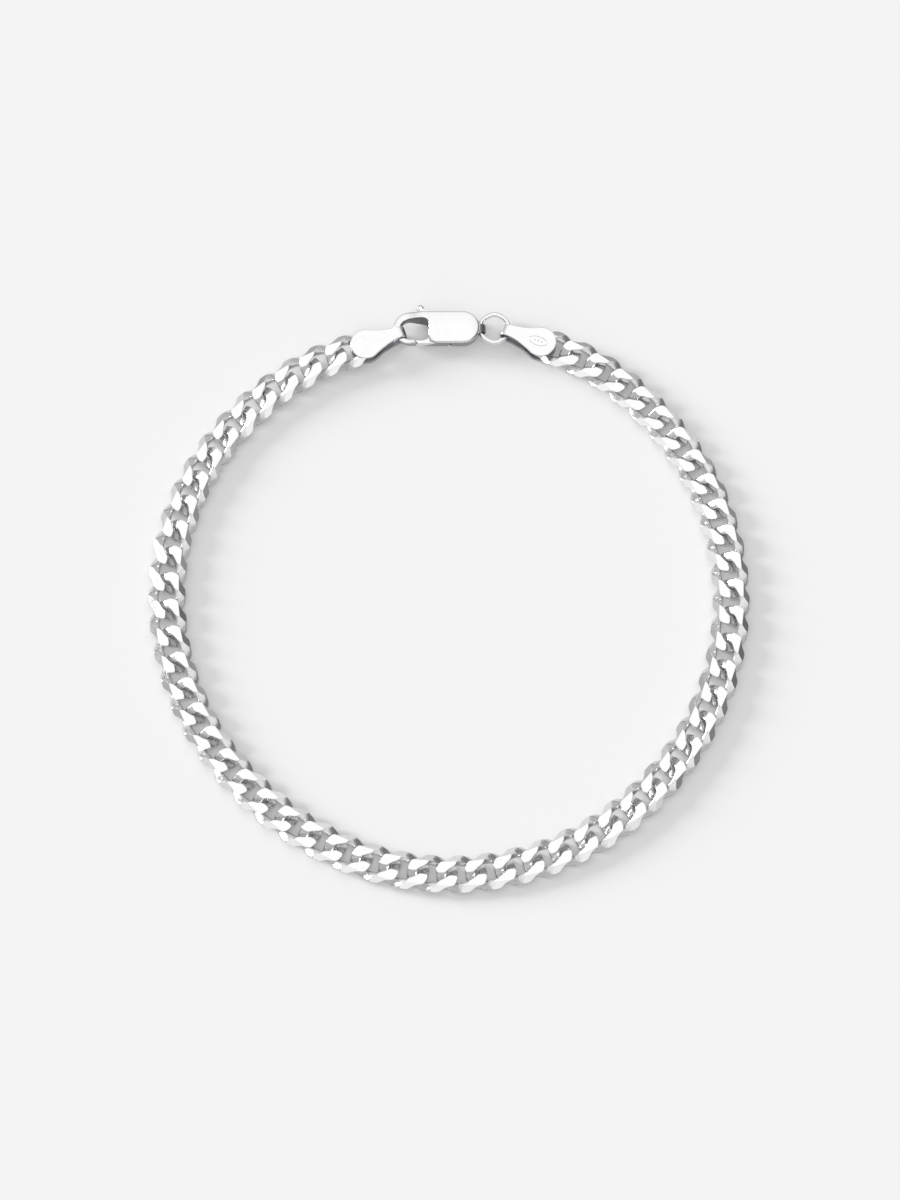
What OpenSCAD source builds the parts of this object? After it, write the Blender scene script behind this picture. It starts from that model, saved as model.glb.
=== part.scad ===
// Curb link bracelet that lies closed on a table.
// Lengths are in millimetres and +Z is up. The origin is on the table, at the middle of the loop.

/* [Loop] */
// Width of the loop from side to side, between the centres of opposite links
loop_w = 62; // [54:0.5:76]

/* [Links] */
// Distance from one link to the next, rounded so that whole links fill the loop
link_pitch = 3.12; // [3:0.02:3.4]
// Width of the chain
chain_w = 4.1; // [3.9:0.05:4.4]
// Thickness of the chain between its polished flats
chain_t = 1.3; // [1.1:0.05:1.5]
// Width of the band that the flats cover, between the bevels
flat_w = 2.64; // [2.2:0.02:3]
// Height of the edge that the bevels leave at each side of the chain
edge_t = 0.36; // [0.1:0.02:0.6]
// Width of the wire, seen from above
wire_w = 1.06; // [0.9:0.02:1.1]
// Thickness of the wire
wire_t = 0.84; // [0.7:0.02:0.9]
// Largest angle that a link is twisted by
link_twist = 36; // [32:1:38]

/* [End tabs] */
// Diameter of the round ends that are soldered to the last links
disc_d = 3.5; // [3:0.1:4]
// Width of the strip where it folds
neck_w = 1.3; // [0.9:0.05:1.4]
// Thickness of the strip
strip_t = 0.28; // [0.2:0.02:0.4]
// Distance from the middle of a round end to the inside of the fold
tab_len = 4.5; // [4:0.1:5.5]
// Distance from the middle of the last link to the middle of a round end
seat_len = 2; // [1.6:0.1:2.4]
// Angle between a tab and the length of the clasp
tab_angle = 20.3; // [15:0.1:26]

/* [Clasp] */
// Length of the clasp without its eye
clasp_len = 9.8; // [9.4:0.1:12]
// Width of the clasp
clasp_w = 3.9; // [3.8:0.05:4.5]
// Thickness of the clasp
clasp_t = 2.3; // [2.1:0.05:2.8]
// Radius along the edges of the clasp
edge_r = 0.3; // [0.15:0.05:0.4]
// Distance from the middle of the loop to the middle of the clasp, towards the right
clasp_x = -1.4; // [-3:0.05:1]
// Width of the hook at its round end
hook_w = 0.82; // [0.7:0.02:0.9]
// Width of the hook's long side
side_w = 0.92; // [0.8:0.02:1]
// Width of the hook at its tip
tip_w = 0.57; // [0.5:0.01:0.7]
// Thickness of the hook where the left tab hangs
hook_t = 1.2; // [1:0.05:1.4]
// Length of the opening inside the hook
open_len = 3.2; // [2.9:0.1:3.6]
// Thickness of the lever
lever_t = 0.9; // [0.7:0.05:1.1]
// Diameter of the round end of the lever, about its pin
hub_d = 1.8; // [1.6:0.1:2]
// Diameter of the hinge pin
pin_d = 0.7; // [0.5:0.05:0.9]
// Diameter of the thumb ball on the lever
ball_d = 0.92; // [0.7:0.02:1.1]
// Angle by which the lever swings open
lever_swing = 22; // [10:1:24]

/* [Jump ring] */
// Diameter of the jump ring, between the middles of its wire
ring_d = 3.2; // [3:0.1:3.8]
// Diameter of the wire of the jump ring
ring_wire = 0.56; // [0.4:0.02:0.62]
// Distance by which the ring lies off the clasp's axis, outward
ring_rise = 0.15; // [0:0.05:0.2]

/* [Clearances] */
// Gap between pieces that hang in each other
hang_gap = 0.1; // [0.08:0.01:0.14]
// Gap between the lever and the clasp's walls
lever_gap = 0.1; // [0.06:0.01:0.14]
// Gap around the pin in the lever
pin_gap = 0.05; // [0.02:0.01:0.08]

/* [Hidden] */
$fn = 48;
silver = [0.86, 0.86, 0.87];
eps = 0.01;

// The route of the chain: its distance from the middle at every 15 degrees, starting at +X and
// going counterclockwise, as a share of half the loop's width. The clasp closes it around 90.
route_step = 15;
route_share = [1.000, 1.000, 1.001, 1.003, 1.006, 1.000, 0.990, 0.981, 0.994, 0.999, 1.002, 1.003,
               1.001, 0.999, 0.998, 0.999, 1.006, 1.017, 1.023, 1.021, 1.016, 1.009, 1.004, 1.001];

// Levels: the chain lies on the table, and the clasp's mid height carries the tabs and the ring
chain_z = chain_t/2;
clasp_z = clasp_t/2;
level_angle = 5;
rise_angle = 24;

// Clasp seen from above, with its long axis along X at clasp_y on the plan
clasp_r = clasp_w/2;
nose_x = clasp_x - clasp_len/2;
tail_x = clasp_x + clasp_len/2 - clasp_r;
inner_r = (clasp_w - side_w - tip_w)/2;
hook_x = nose_x + hook_w + inner_r;
open_drop = (side_w - tip_w)/2;
open_x = nose_x + hook_w + open_len;

// Jump ring: its left side runs through the eye, whose wall is as thick as eye_wall
eye_wall = 0.24;
eye_r = ring_wire/2 + hang_gap + eye_wall;
eye_x = tail_x + clasp_r;
eye_w = 1.06;
ring_x = eye_x + ring_d/2;

// Distances along a tab's axis from the middle of the hook's round end, and of the ring, to the
// middle of the last link. The flat fold keeps hang_gap from the round wall at its own corners.
function fold_reach(r) = sqrt(pow(r, 2) - pow(neck_w/2, 2)) - hang_gap;
hook_reach = fold_reach(inner_r) + tab_len + seat_len;
ring_reach = fold_reach((ring_d - ring_wire)/2) + tab_len + seat_len;
left_x = hook_x - hook_reach*cos(tab_angle);
right_x = ring_x + ring_reach*cos(tab_angle);

// The clasp sits at the height that brings the last links onto the route
end_share = 0.995;
left_drop = open_drop + hook_reach*sin(tab_angle);
right_drop = ring_reach*sin(tab_angle) - ring_rise;
end_x = (right_x - left_x)/2;
clasp_y = (left_drop + right_drop)/2 + sqrt(pow(loop_w/2*end_share, 2) - pow(end_x, 2));
left_end = [left_x, clasp_y - left_drop];
right_end = [right_x, clasp_y - right_drop];

// The route runs clockwise from the right end link to the left end link
start_angle = atan2(right_end[1], right_end[0]);
stop_angle = atan2(left_end[1], left_end[0]) - 360;

function wrap(i) = (i + 2*len(route_share)) % len(route_share);
function share(i) = route_share[wrap(i)];

// Smooth curve through four neighbouring shares, at the fraction t between the middle two
function blend4(a, b, c, d, t) =
    b + t/2*((c - a) + t*((2*a - 5*b + 4*c - d) + t*(3*(b - c) + d - a)));

function table_radius(angle) =
    let(q = (angle + 720)/route_step, i = floor(q))
    loop_w/2*blend4(share(i - 1), share(i), share(i + 1), share(i + 2), q - i);

function smooth(t) = let(c = min(1, max(0, t))) c*c*(3 - 2*c);

// The ends of the route are drawn to the end links over the first and last blend_angle degrees
blend_angle = 30;
start_miss = norm(right_end) - table_radius(start_angle);
stop_miss = norm(left_end) - table_radius(stop_angle);

function route_radius(angle) =
    table_radius(angle)
    + start_miss*(1 - smooth((start_angle - angle)/blend_angle))
    + stop_miss*(1 - smooth((angle - stop_angle)/blend_angle));

function rise(turned) = 1 - smooth((turned - level_angle)/rise_angle);
function route_height(angle) =
    chain_z + (clasp_z - chain_z)*(rise(start_angle - angle) + rise(angle - stop_angle));

function route_point(angle) =
    let(r = route_radius(angle)) [r*cos(angle), r*sin(angle), route_height(angle)];

// Length along the route, as a table from length to angle
route_steps = 240;
step_angle = (stop_angle - start_angle)/route_steps;
route_points = [for (i = [0:route_steps]) route_point(start_angle + i*step_angle)];
route_table = [for (i = 0, s = 0; i <= route_steps;
                    s = s + (i < route_steps ? norm(route_points[i + 1] - route_points[i]) : 0),
                    i = i + 1)
               [s, start_angle + i*step_angle]];
route_len = route_table[route_steps][0];
link_count = round(route_len/link_pitch) + 1;
pitch = route_len/(link_count - 1);
half_count = floor(link_count/2);

// The shape is moved so that the origin is at the middle of its outline
ball_y = clasp_r + lever_gap + ball_d/2;
plan_y = (clasp_y + ball_y + ball_d/2 - table_radius(270) - chain_w/2)/2;

// Cutting planes of a link, each [normal, distance], for its upper side
half_t = chain_t/2;
half_flat = flat_w/2;
bevel_run = chain_w/2 - half_flat;
bevel_drop = half_t - edge_t/2;
bevel_len = norm([bevel_run, bevel_drop]);
bevel_dist = (bevel_drop*half_flat + bevel_run*half_t)/bevel_len;
cut_planes = [[[0, 0, 1], half_t],
              [[0, bevel_drop, bevel_run]/bevel_len, bevel_dist],
              [[0, -bevel_drop, bevel_run]/bevel_len, bevel_dist]];

// Outline of a link before it is twisted: a squarish oval through the middle of its wire
link_sections = 16;
link_sides = 6;
oval_power = 2.9;
link_gap = 2*hang_gap;
link_a = (pitch + wire_w + link_gap)/2;
link_b = (chain_w - wire_w)/2;

function sign_pow(v, p) = sign(v)*pow(abs(v), p);
function oval_point(t) =
    [link_a*sign_pow(cos(t), 2/oval_power), link_b*sign_pow(sin(t), 2/oval_power)];
function oval_normal(t) =
    let(n = [sign_pow(cos(t), 2 - 2/oval_power)/link_a, sign_pow(sin(t), 2 - 2/oval_power)/link_b])
    n/norm(n);

// The twist grows from the middle of the link and levels off towards its ends
twist_span = 140;
twist_rate = twist_span/pitch;
function twist_at(x) = -link_twist*sin(twist_rate*x);

// Across the wire at oval point o, with outward normal n and the section turned by angle, each
// cutting plane is a line [height in the middle, slope] that bounds the section from above.
// The section turned the other way gives the bounds from below.
function upper_bounds(o, n, angle) =
    [[wire_t/2, 0],
     for (p = cut_planes)
         let(v = p[0][1], w = p[0][2], across = v*cos(angle) + w*sin(angle),
             up = w*cos(angle) - v*sin(angle))
         [(p[1] - o[1]*across)/up, -n[1]*across/up]];
function bound_at(bounds, c) = min([for (b = bounds) b[0] + b[1]*c]);

// Reach of the section to one side, where at least this thickness of wire is left
least_t = 0.14;
function reach(above, below, side) =
    min([wire_w/2,
         for (a = above, b = below)
             let(slope = (a[1] + b[1])*side) if (slope < -eps) (least_t - a[0] - b[0])/slope]);

// Six corners of a section: its outer and inner edges, and two each on its top and bottom
wire_flat = 0.65;
function link_section(t) =
    let(o = oval_point(t), n = oval_normal(t), angle = twist_at(o[0]),
        above = upper_bounds(o, n, angle), below = upper_bounds(o, n, -angle),
        outer = reach(above, below, 1), inner = -reach(above, below, -1),
        mid = (outer + inner)/2, flat = wire_flat*(outer - inner)/2)
    [for (c = [[outer, 0], [mid + flat, 1], [mid - flat, 1],
               [inner, 0], [mid - flat, -1], [mid + flat, -1]])
     let(top = bound_at(above, c[0]), low = -bound_at(below, c[0]),
         h = (top + low + c[1]*(top - low))/2, y = o[1] + c[0]*n[1])
     [o[0] + c[0]*n[0], y*cos(angle) - h*sin(angle), y*sin(angle) + h*cos(angle)]];

link_points = [for (i = [0:link_sections - 1]) each link_section(i*360/link_sections)];
link_faces = [for (i = [0:link_sections - 1], j = [0:link_sides - 1])
              let(k = (i + 1) % link_sections, m = (j + 1) % link_sides)
              each [[i*link_sides + j, i*link_sides + m, k*link_sides + m],
                    [i*link_sides + j, k*link_sides + m, k*link_sides + j]]];

// A link's place on the route: x runs along the chain, y outward and z up. Its two ends lie at
// the route's height, so it tilts where the chain rises.
function frame_at(angle) =
    let(p = route_point(angle), half = (link_a + wire_w/2)/loop_w*360/PI,
        a = route_point(angle + half), b = route_point(angle - half),
        x = (b - a)/norm(b - a),
        y0 = cross([0, 0, 1], x), y = y0/norm(y0))
    [[p[0], p[1], (a[2] + b[2])/2], x, y, cross(x, y)];
function placed(f, v) = f[0] + v[0]*f[1] + v[1]*f[2] + v[2]*f[3];

// Links from the number first to the number last, as one set of closed shells
module links(first, last) {
    corner_count = len(link_points);
    points = [for (i = [first:last])
              let(f = frame_at(lookup(i*pitch, route_table)))
              for (v = link_points) placed(f, v)];
    faces = [for (i = [0:last - first], f = link_faces) [for (k = f) k + i*corner_count]];
    polyhedron(points, faces);
}

// Everything on the plan is moved by plan_y, and the clasp's pieces start from its own axis
module on_plan() translate([0, -plan_y, 0]) children();
module on_clasp() on_plan() translate([0, clasp_y, clasp_z]) children();

module chain_right() color(silver) on_plan() links(1, half_count - 1);
module chain_left() color(silver) on_plan() links(half_count, link_count - 2);

// Points along an arc about c, from angle a0 to a1
arc_steps = 12;
function arc(c, r, a0, a1) =
    [for (i = [0:arc_steps]) let(a = a0 + (a1 - a0)*i/arc_steps) c + r*[cos(a), sin(a)]];
function reversed(points) = [for (i = [len(points) - 1:-1:0]) points[i]];
function flipped(points) = [for (p = reversed(points)) [p[0], -p[1]]];

// Side view of the folded strip. Over the round ends it lies on the link's flats, and from
// slope_start to slope_end it spreads to clear what it hangs on. The fold has rounded corners.
slope_start = 1.5;
slope_end = 3;
fold_r = 0.25;
solder_sink = 0.03;
end_gap = half_t - solder_sink;
fold_gap = hook_t/2 + 2*hang_gap;
function strip_edge(out) =
    concat([[-disc_d, end_gap + out], [slope_start, end_gap + out], [slope_end, fold_gap + out]],
           arc([tab_len - fold_r, fold_gap - fold_r], fold_r + out, 90, 0));
module strip_side() {
    outer = strip_edge(strip_t);
    inner = strip_edge(0);
    polygon(concat(outer, flipped(outer), inner, flipped(inner)),
            paths = [concat([for (i = [0:2*len(outer) - 1]) i],
                            reversed([for (i = [0:2*len(inner) - 1]) i + 2*len(outer)]))]);
}

// Plan of a tab: a round end that flows into the strip through two wide fillets
neck_fillet = 8;
fillet_y = neck_w/2 + neck_fillet;
fillet_x = sqrt(pow(disc_d/2 + neck_fillet, 2) - pow(fillet_y, 2));
fillet_turn = atan2(fillet_y, fillet_x);
module tab_plan() {
    half = concat([[tab_len + 2*strip_t, neck_w/2]],
                  arc([fillet_x, fillet_y], neck_fillet, -90, fillet_turn - 180),
                  arc([0, 0], disc_d/2, fillet_turn, 180));
    polygon(concat(half, flipped(half)));
}

// A folded strip with the middle of its round end at the origin and its fold towards +X
module folded_strip() {
    intersection() {
        rotate([90, 0, 0]) linear_extrude(disc_d + 1, center = true) strip_side();
        linear_extrude(4*clasp_t, center = true) tab_plan();
    }
}

module end_tab_right() color(silver) on_plan() union() {
    translate([right_end[0], right_end[1], clasp_z])
        rotate(180 - tab_angle) translate([seat_len, 0, 0]) folded_strip();
    links(0, 0);
}

module end_tab_left() color(silver) on_plan() union() {
    translate([left_end[0], left_end[1], clasp_z])
        rotate(tab_angle) translate([seat_len, 0, 0]) folded_strip();
    links(link_count - 1, link_count - 1);
}

// Half of the clasp's cross section: a flat slab whose outer edges are rounded
module rim_profile() {
    translate([0, -clasp_t/2]) square([clasp_r - edge_r, clasp_t]);
    translate([0, -clasp_t/2 + edge_r]) square([clasp_r, clasp_t - 2*edge_r]);
    for (s = [-1, 1]) translate([clasp_r - edge_r, s*(clasp_t/2 - edge_r)]) circle(edge_r);
}

// The clasp's outer form: two round ends, each with a straight stretch that reaches past the middle
slab_share = 0.6;
module clasp_slab() {
    nose = nose_x + clasp_r;
    for (end = [[nose, 90], [tail_x, -90]]) translate([end[0], 0, 0]) rotate(end[1]) {
        rotate_extrude(angle = 180, $fn = 96) rim_profile();
        rotate([90, 0, 0]) linear_extrude(slab_share*(tail_x - nose)) {
            rim_profile();
            mirror([1, 0]) rim_profile();
        }
    }
}

// Plan of the opening inside the hook: round at the hook, with rounded corners at the case
open_corner = 0.7;
module opening_plan() translate([hook_x, -open_drop]) {
    straight = open_x - open_corner - hook_x;
    circle(inner_r, $fn = 96);
    translate([0, -inner_r]) square([straight, 2*inner_r]);
    for (s = [-1, 1]) translate([straight, s*(inner_r - open_corner)]) circle(open_corner);
    translate([straight - eps, open_corner - inner_r])
        square([open_corner + eps, 2*(inner_r - open_corner)]);
}

// Plan of the gap in the hook that the lever closes, between the hook's tip and the case
tip_top = 0.15;
tip_low = 0.6;
case_corner = 1;
gate_top = -open_drop - inner_r;
module gate_plan() {
    low = -clasp_r - edge_r;
    difference() {
        polygon([[hook_x + tip_top, gate_top + eps], [hook_x + tip_low, -clasp_r],
                 [hook_x + tip_low, low], [open_x + case_corner, low],
                 [open_x + case_corner, gate_top + eps]]);
        translate([open_x + case_corner, case_corner - clasp_r]) circle(case_corner);
        translate([open_x, case_corner - clasp_r]) square(case_corner + eps);
    }
}

// Lever, seen from above with its pin at the origin. Its gate closes the gap in the hook, and
// its arm comes out of the case's outer side and carries the thumb plate with the ball.
pivot_back = 1.95;
pivot = [open_x + pivot_back, hub_d/2 - clasp_r];
gate_drop = 0.05;
gap_top = 1.6*hang_gap;
gap_low = 1.2*hang_gap;
gate_low = lever_gap - hub_d/2;
gate_end = [hook_x + tip_top - pivot[0] + gap_top, gate_top - gate_drop - pivot[1]];
gate_tip = [hook_x + tip_low - pivot[0] + gap_low, gate_low];
gate_rise = 0.4;
gate_root = [open_x - pivot[0], gate_rise];
arm_w = 0.7;
arm_back = 2.3;
thumb_t = 0.3;
thumb_len = 0.62;
thumb_y = clasp_r + lever_gap - pivot[1];
arm_end = [-arm_back, thumb_y + thumb_t - arm_w/2];
ball = [arm_end[0] - thumb_len, ball_y - pivot[1]];
module lever_plan() {
    circle(d = hub_d - 2*lever_gap);
    polygon([gate_end, gate_tip, [0, gate_low], [0, -gate_low], gate_root]);
    bar([0, 0], arm_end, arm_w);
    translate([ball[0], thumb_y]) square([arm_end[0] - ball[0], thumb_t]);
}

// Flat bar with round ends from a to b
module bar(a, b, w) {
    d = b - a;
    translate(a) rotate(atan2(d[1], d[0])) translate([0, -w/2]) square([norm(d), w]);
    translate(a) circle(d = w);
    translate(b) circle(d = w);
}

// Space that the lever needs inside the case, from shut to fully open, and past the case's side
arm_side = arm_w/2 + lever_gap;
gate_room = 1.35;
module lever_space_plan() {
    far = 1.5*clasp_w;
    shut = atan2(arm_end[1], arm_end[0]);
    hub_room = hub_d/2 + lever_gap;
    circle(hub_room);
    for (a = [shut, shut - lever_swing]) rotate(a)
        translate([0, -arm_side]) square([far, 2*arm_side]);
    polygon([[0, 0], far*[cos(shut), sin(shut)],
             far*[cos(shut - lever_swing), sin(shut - lever_swing)]]);
    polygon([[gate_tip[0], -hub_d], [0, -hub_d], [0, hub_room], [gate_root[0], gate_room],
             [gate_tip[0], gate_room]]);
}

// Wedges that thin the hook evenly from the case to hook_t at the fold of the left tab
thin_start = 0.9;
thin_end = 0.6;
module hook_wedges() {
    near = open_x - thin_start;
    far = hook_x - thin_end*inner_r;
    past = hook_x - 2*clasp_r;
    for (s = [-1, 1]) rotate([90, 0, 0]) linear_extrude(3*clasp_w, center = true)
        polygon([[near, s*clasp_t/2], [far, s*hook_t/2], [past, s*hook_t/2], [past, s*clasp_t],
                 [near, s*clasp_t]]);
}

// Channel that the jump ring runs through in the eye and the case
module ring_channel() {
    translate([ring_x, ring_rise, 0]) rotate_extrude($fn = 96)
        translate([ring_d/2, 0]) circle(ring_wire/2 + hang_gap);
}

module clasp_body() color(silver) on_clasp() {
    pin_high = clasp_t/2 - pin_cover;
    difference() {
        union() {
            clasp_slab();
            translate([eye_x, 0, 0]) rotate([90, 0, 0]) cylinder(h = eye_w, r = eye_r, center = true);
            translate([tail_x, -eye_w/2, -eye_r]) cube([eye_x - tail_x, eye_w, 2*eye_r]);
        }
        linear_extrude(2*clasp_t, center = true) opening_plan();
        linear_extrude(2*clasp_t, center = true) gate_plan();
        translate([pivot[0], pivot[1], 0])
            linear_extrude(lever_t + 2*lever_gap, center = true) lever_space_plan();
        hook_wedges();
        ring_channel();
        translate([pivot[0], pivot[1], -clasp_t])
            cylinder(h = clasp_t + pin_high + pin_seat, d = pin_d + 2*pin_seat);
    }
}

// The pin stops short of the upper face and is flush with the lower one
pin_cover = 0.2;
pin_seat = 0.01;
pin_recess = 0.05;
module clasp_pin() color(silver) on_clasp() {
    pin_low = -clasp_t/2 + pin_recess;
    translate([pivot[0], pivot[1], pin_low])
        cylinder(h = clasp_t/2 - pin_cover - pin_low, d = pin_d);
}

module clasp_lever() color(silver) on_clasp() translate([pivot[0], pivot[1], 0]) {
    difference() {
        linear_extrude(lever_t, center = true) lever_plan();
        cylinder(h = 2*lever_t, d = pin_d + 2*pin_gap, center = true);
    }
    translate(ball) sphere(d = ball_d);
}

module jump_ring() color(silver) on_clasp() {
    translate([ring_x, ring_rise, 0]) rotate_extrude($fn = 96)
        translate([ring_d/2, 0]) circle(d = ring_wire);
}

chain_right();
chain_left();
end_tab_right();
end_tab_left();
clasp_body();
clasp_lever();
clasp_pin();
jump_ring();
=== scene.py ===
"""Curb link bracelet with a trigger clasp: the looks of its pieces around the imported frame.

Shapes are worked out in millimetres in the part's own frame, and go into their meshes in metres.
"""
import math
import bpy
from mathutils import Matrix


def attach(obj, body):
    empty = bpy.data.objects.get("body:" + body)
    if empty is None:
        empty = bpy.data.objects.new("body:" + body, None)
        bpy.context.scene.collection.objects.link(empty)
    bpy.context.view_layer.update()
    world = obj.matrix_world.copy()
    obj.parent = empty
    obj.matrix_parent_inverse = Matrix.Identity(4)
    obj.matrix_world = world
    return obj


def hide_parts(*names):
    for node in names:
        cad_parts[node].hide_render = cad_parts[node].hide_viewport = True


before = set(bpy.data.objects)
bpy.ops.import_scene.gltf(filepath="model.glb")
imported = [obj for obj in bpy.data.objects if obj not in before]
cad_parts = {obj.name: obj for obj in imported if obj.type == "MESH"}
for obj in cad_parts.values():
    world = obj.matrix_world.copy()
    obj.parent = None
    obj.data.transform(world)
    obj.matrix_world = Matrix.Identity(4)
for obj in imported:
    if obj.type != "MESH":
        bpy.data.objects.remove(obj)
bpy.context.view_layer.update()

from types import SimpleNamespace

import bmesh
import bpy
import numpy as np
from bpy.props import FloatProperty, PointerProperty, StringProperty
from mathutils import Matrix

bl_info = {
    "name": "Curb link bracelet",
    "version": (1, 0, 0),
    "blender": (4, 5, 0),
    "location": "3D View > Sidebar > Bracelet",
    "description": "Builds a silver curb link bracelet with its clasp, end tabs and jump ring",
    "category": "Add Mesh",
}

MM = 0.001
UP = np.array([0.0, 0.0, 1.0])


# Properties

def length(mm, name, description):
    """A length, whose default is given in millimetres."""
    return FloatProperty(name=name, description=description, default=mm * MM, unit="LENGTH", precision=5)


def angle(degrees, name, description):
    """An angle, whose default is given in degrees."""
    return FloatProperty(name=name, description=description, default=math.radians(degrees),
                         subtype="ANGLE", unit="ROTATION")


def share(value, name, description):
    """A plain number."""
    return FloatProperty(name=name, description=description, default=value, precision=3)


def tone(code, name, description):
    """A colour as an sRGB hex code."""
    return StringProperty(name=name, description=description, default=code)


class ChainSizes(bpy.types.PropertyGroup):
    """Loop of the chain and the form of a link"""
    loop_w: length(62, "Loop width", "Width of the loop between the centres of opposite links")
    link_pitch: length(3.12, "Link pitch", "Distance between links before whole links fill the loop")
    chain_w: length(4.1, "Chain width", "Width of the chain")
    chain_t: length(1.3, "Chain thickness", "Thickness of the chain between its polished flats")
    flat_w: length(2.64, "Flat width", "Width of the band that the flats cover")
    edge_t: length(0.48, "Edge height", "Height of the edge that the bevels leave at the chain's sides")
    wire_w: length(1.136, "Wire width", "Width of a link's wire, seen from above")
    wire_t: length(0.79, "Wire thickness", "Thickness of a link's wire")
    link_gap: length(0.09, "Link gap", "Play between a link and the next but one")
    link_twist: angle(39.6, "Link twist", "Largest angle that a link is twisted by")
    twist_span: angle(126, "Twist span", "Angle that the twist's wave turns through in one pitch")
    twist_power: share(1.32, "Twist power", "Power of the twist's wave, above 1 to hold the middle level")
    oval_power: share(3.0, "Oval power", "Squareness of a link's outline, 2 for an ellipse")
    wire_power: share(4.1, "Wire power", "Squareness of the wire's section, 2 for an ellipse")
    sway: angle(1.5, "Link sway", "Largest angle by which a link rolls or tips out of line")


class TabSizes(bpy.types.PropertyGroup):
    """Folded end tabs"""
    disc_d: length(3.5, "Disc diameter", "Diameter of the round ends soldered to the last links")
    neck_w: length(1.3, "Neck width", "Width of the strip where it folds")
    strip_t: length(0.28, "Strip thickness", "Thickness of the strip")
    tab_len: length(4.5, "Tab length", "Distance from a disc's middle to the inside of the fold")
    seat_len: length(2.0, "Seat length", "Distance from the last link's middle to a disc's middle")
    tab_angle: angle(20.3, "Tab angle", "Angle between a tab and the clasp")
    neck_fillet: length(8, "Neck fillet", "Radius of the curve from the disc to the neck")
    slope_start: length(1.5, "Slope start", "Where the two layers begin to spread, from the disc's middle")
    slope_end: length(3, "Slope end", "Where the two layers are spread, from the disc's middle")
    fold_r: length(0.62, "Fold radius", "Inner radius of the fold's two bends")
    edge_r: length(0.1, "Edge rounding", "Width of the rounding along the strip's edges")
    solder_sink: length(0.03, "Solder sink", "Depth that a disc sinks into the link's flat")
    stamp_len: length(2.1, "Cartouche length", "Length of the plain oval cartouche on the right tab")
    stamp_w: length(1.02, "Cartouche width", "Width of the cartouche")


class ClaspSizes(bpy.types.PropertyGroup):
    """Trigger clasp"""
    clasp_len: length(9.8, "Clasp length", "Length of the clasp without its eye")
    clasp_w: length(3.9, "Clasp width", "Width of the clasp")
    clasp_t: length(2.3, "Clasp thickness", "Thickness of the clasp")
    clasp_x: length(-1.4, "Clasp place", "Distance from the loop's middle to the clasp's middle")
    hook_w: length(0.82, "Hook width", "Width of the hook at its round end")
    side_w: length(0.92, "Side width", "Width of the hook's long side")
    tip_w: length(0.57, "Tip width", "Width of the hook at its tip")
    hook_t: length(1.2, "Hook thickness", "Thickness of the hook where the left tab hangs")
    open_len: length(3.2, "Opening length", "Length of the opening inside the hook")
    open_corner: length(0.7, "Opening corner", "Radius of the opening's corners at the case")
    crown: length(0.06, "Crown", "Height by which the case's faces rise to their middle")
    tail_drop: length(0.2, "Tail drop", "Height that each face of the case loses at its round end")
    tail_ease: length(1.6, "Tail easing", "Length over which the case's faces curve down to its round end")
    edge_r: length(0.36, "Upper edge", "Radius along the case's upper edge")
    belly_w: length(0.75, "Belly width", "Distance that the case's lower half draws in")
    lever_t: length(0.9, "Lever thickness", "Thickness of the lever")
    hub_d: length(1.8, "Hub diameter", "Diameter of the lever's round end about its pin")
    pivot_back: length(1.95, "Pivot place", "Distance from the opening to the lever's pin")
    pin_d: length(0.7, "Pin diameter", "Diameter of the hinge pin")
    ball_d: length(0.92, "Ball diameter", "Diameter of the thumb ball")
    ball_swell: length(0.05, "Ball swell", "Radius that the polished ball has over the plain one")
    lever_swing: angle(22, "Lever swing", "Angle by which the lever opens")
    cast_voxel: length(0.041, "Cast detail", "Size of the cells that blend the cast clasp into one skin")


class RingSizes(bpy.types.PropertyGroup):
    """Jump ring"""
    ring_d: length(3.2, "Ring diameter", "Diameter between the middles of the ring's wire")
    ring_wire: length(0.56, "Ring wire", "Diameter of the ring's wire")
    ring_rise: length(0.15, "Ring rise", "Distance that the ring lies off the clasp's axis")
    seam: length(0.03, "Seam", "Width of the seam where the ring closes")
    hex: share(0.015, "Pliers' corners", "Share of its radius by which the ring bulges at six corners")
    tall: share(1.04, "Ring height", "How much taller than wide the ring is bent")


class FitSizes(bpy.types.PropertyGroup):
    """Gaps between pieces"""
    hang_gap: length(0.1, "Hanging gap", "Gap between pieces that hang in each other")
    lever_gap: length(0.1, "Lever gap", "Gap between the lever and the clasp's walls")


class SilverTones(bpy.types.PropertyGroup):
    """Colours of the silver, with the grey and dark grey of its painted shade"""
    bright: tone("#F5F4F4", "Polished silver", "Colour of clean polished silver")
    soft: tone("#E2E1E2", "Drawn silver", "Colour of silver wire as it leaves the drawplate")
    # Painted shade: grey for the clasp's upright walls and for the tabs' inner side
    painted_shade_grey: tone("#A9A9AD", "Unpolished silver", "Colour of silver that is rolled or tumbled and not buffed")
    # Painted shade: dark grey for the walls inside the clasp's opening and on its eye
    cast: tone("#77777B", "Cast silver", "Colour of the casting's skin where no buff reaches")
    oxide: tone("#6E6F73", "Oxide", "Colour of the dark film in recesses")


class StageSizes(bpy.types.PropertyGroup):
    """Floor, light and camera"""
    floor: tone("#D9D9D9", "Floor", "Colour of the matt floor, without its glow")
    floor_glow: share(0.12, "Floor glow", "Light that the floor gives off, where white is 1")
    floor_w: length(1600, "Floor width", "Width of the floor")
    tilt: angle(18, "Camera tilt", "Angle of the view from straight down")
    distance: length(374, "Camera distance", "Distance from the camera to the point that it looks at")
    lens: share(102, "Lens", "Focal length in millimetres on a sensor 36 mm high")
    look_x: length(0.0935, "View middle X", "Point that the camera looks at")
    look_y: length(-0.9094, "View middle Y", "Point that the camera looks at")
    look_z: length(0.6, "View middle Z", "Point that the camera looks at")
    key_height: angle(16, "Key light height", "Height of the key light above the floor")
    key_turn: angle(162, "Key light turn", "Direction that the key light comes from, from +X")
    key_spread: angle(18, "Key light spread", "Angle that the key light fills")
    key_power: share(3.7, "Key light power", "Strength of the key light")


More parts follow.
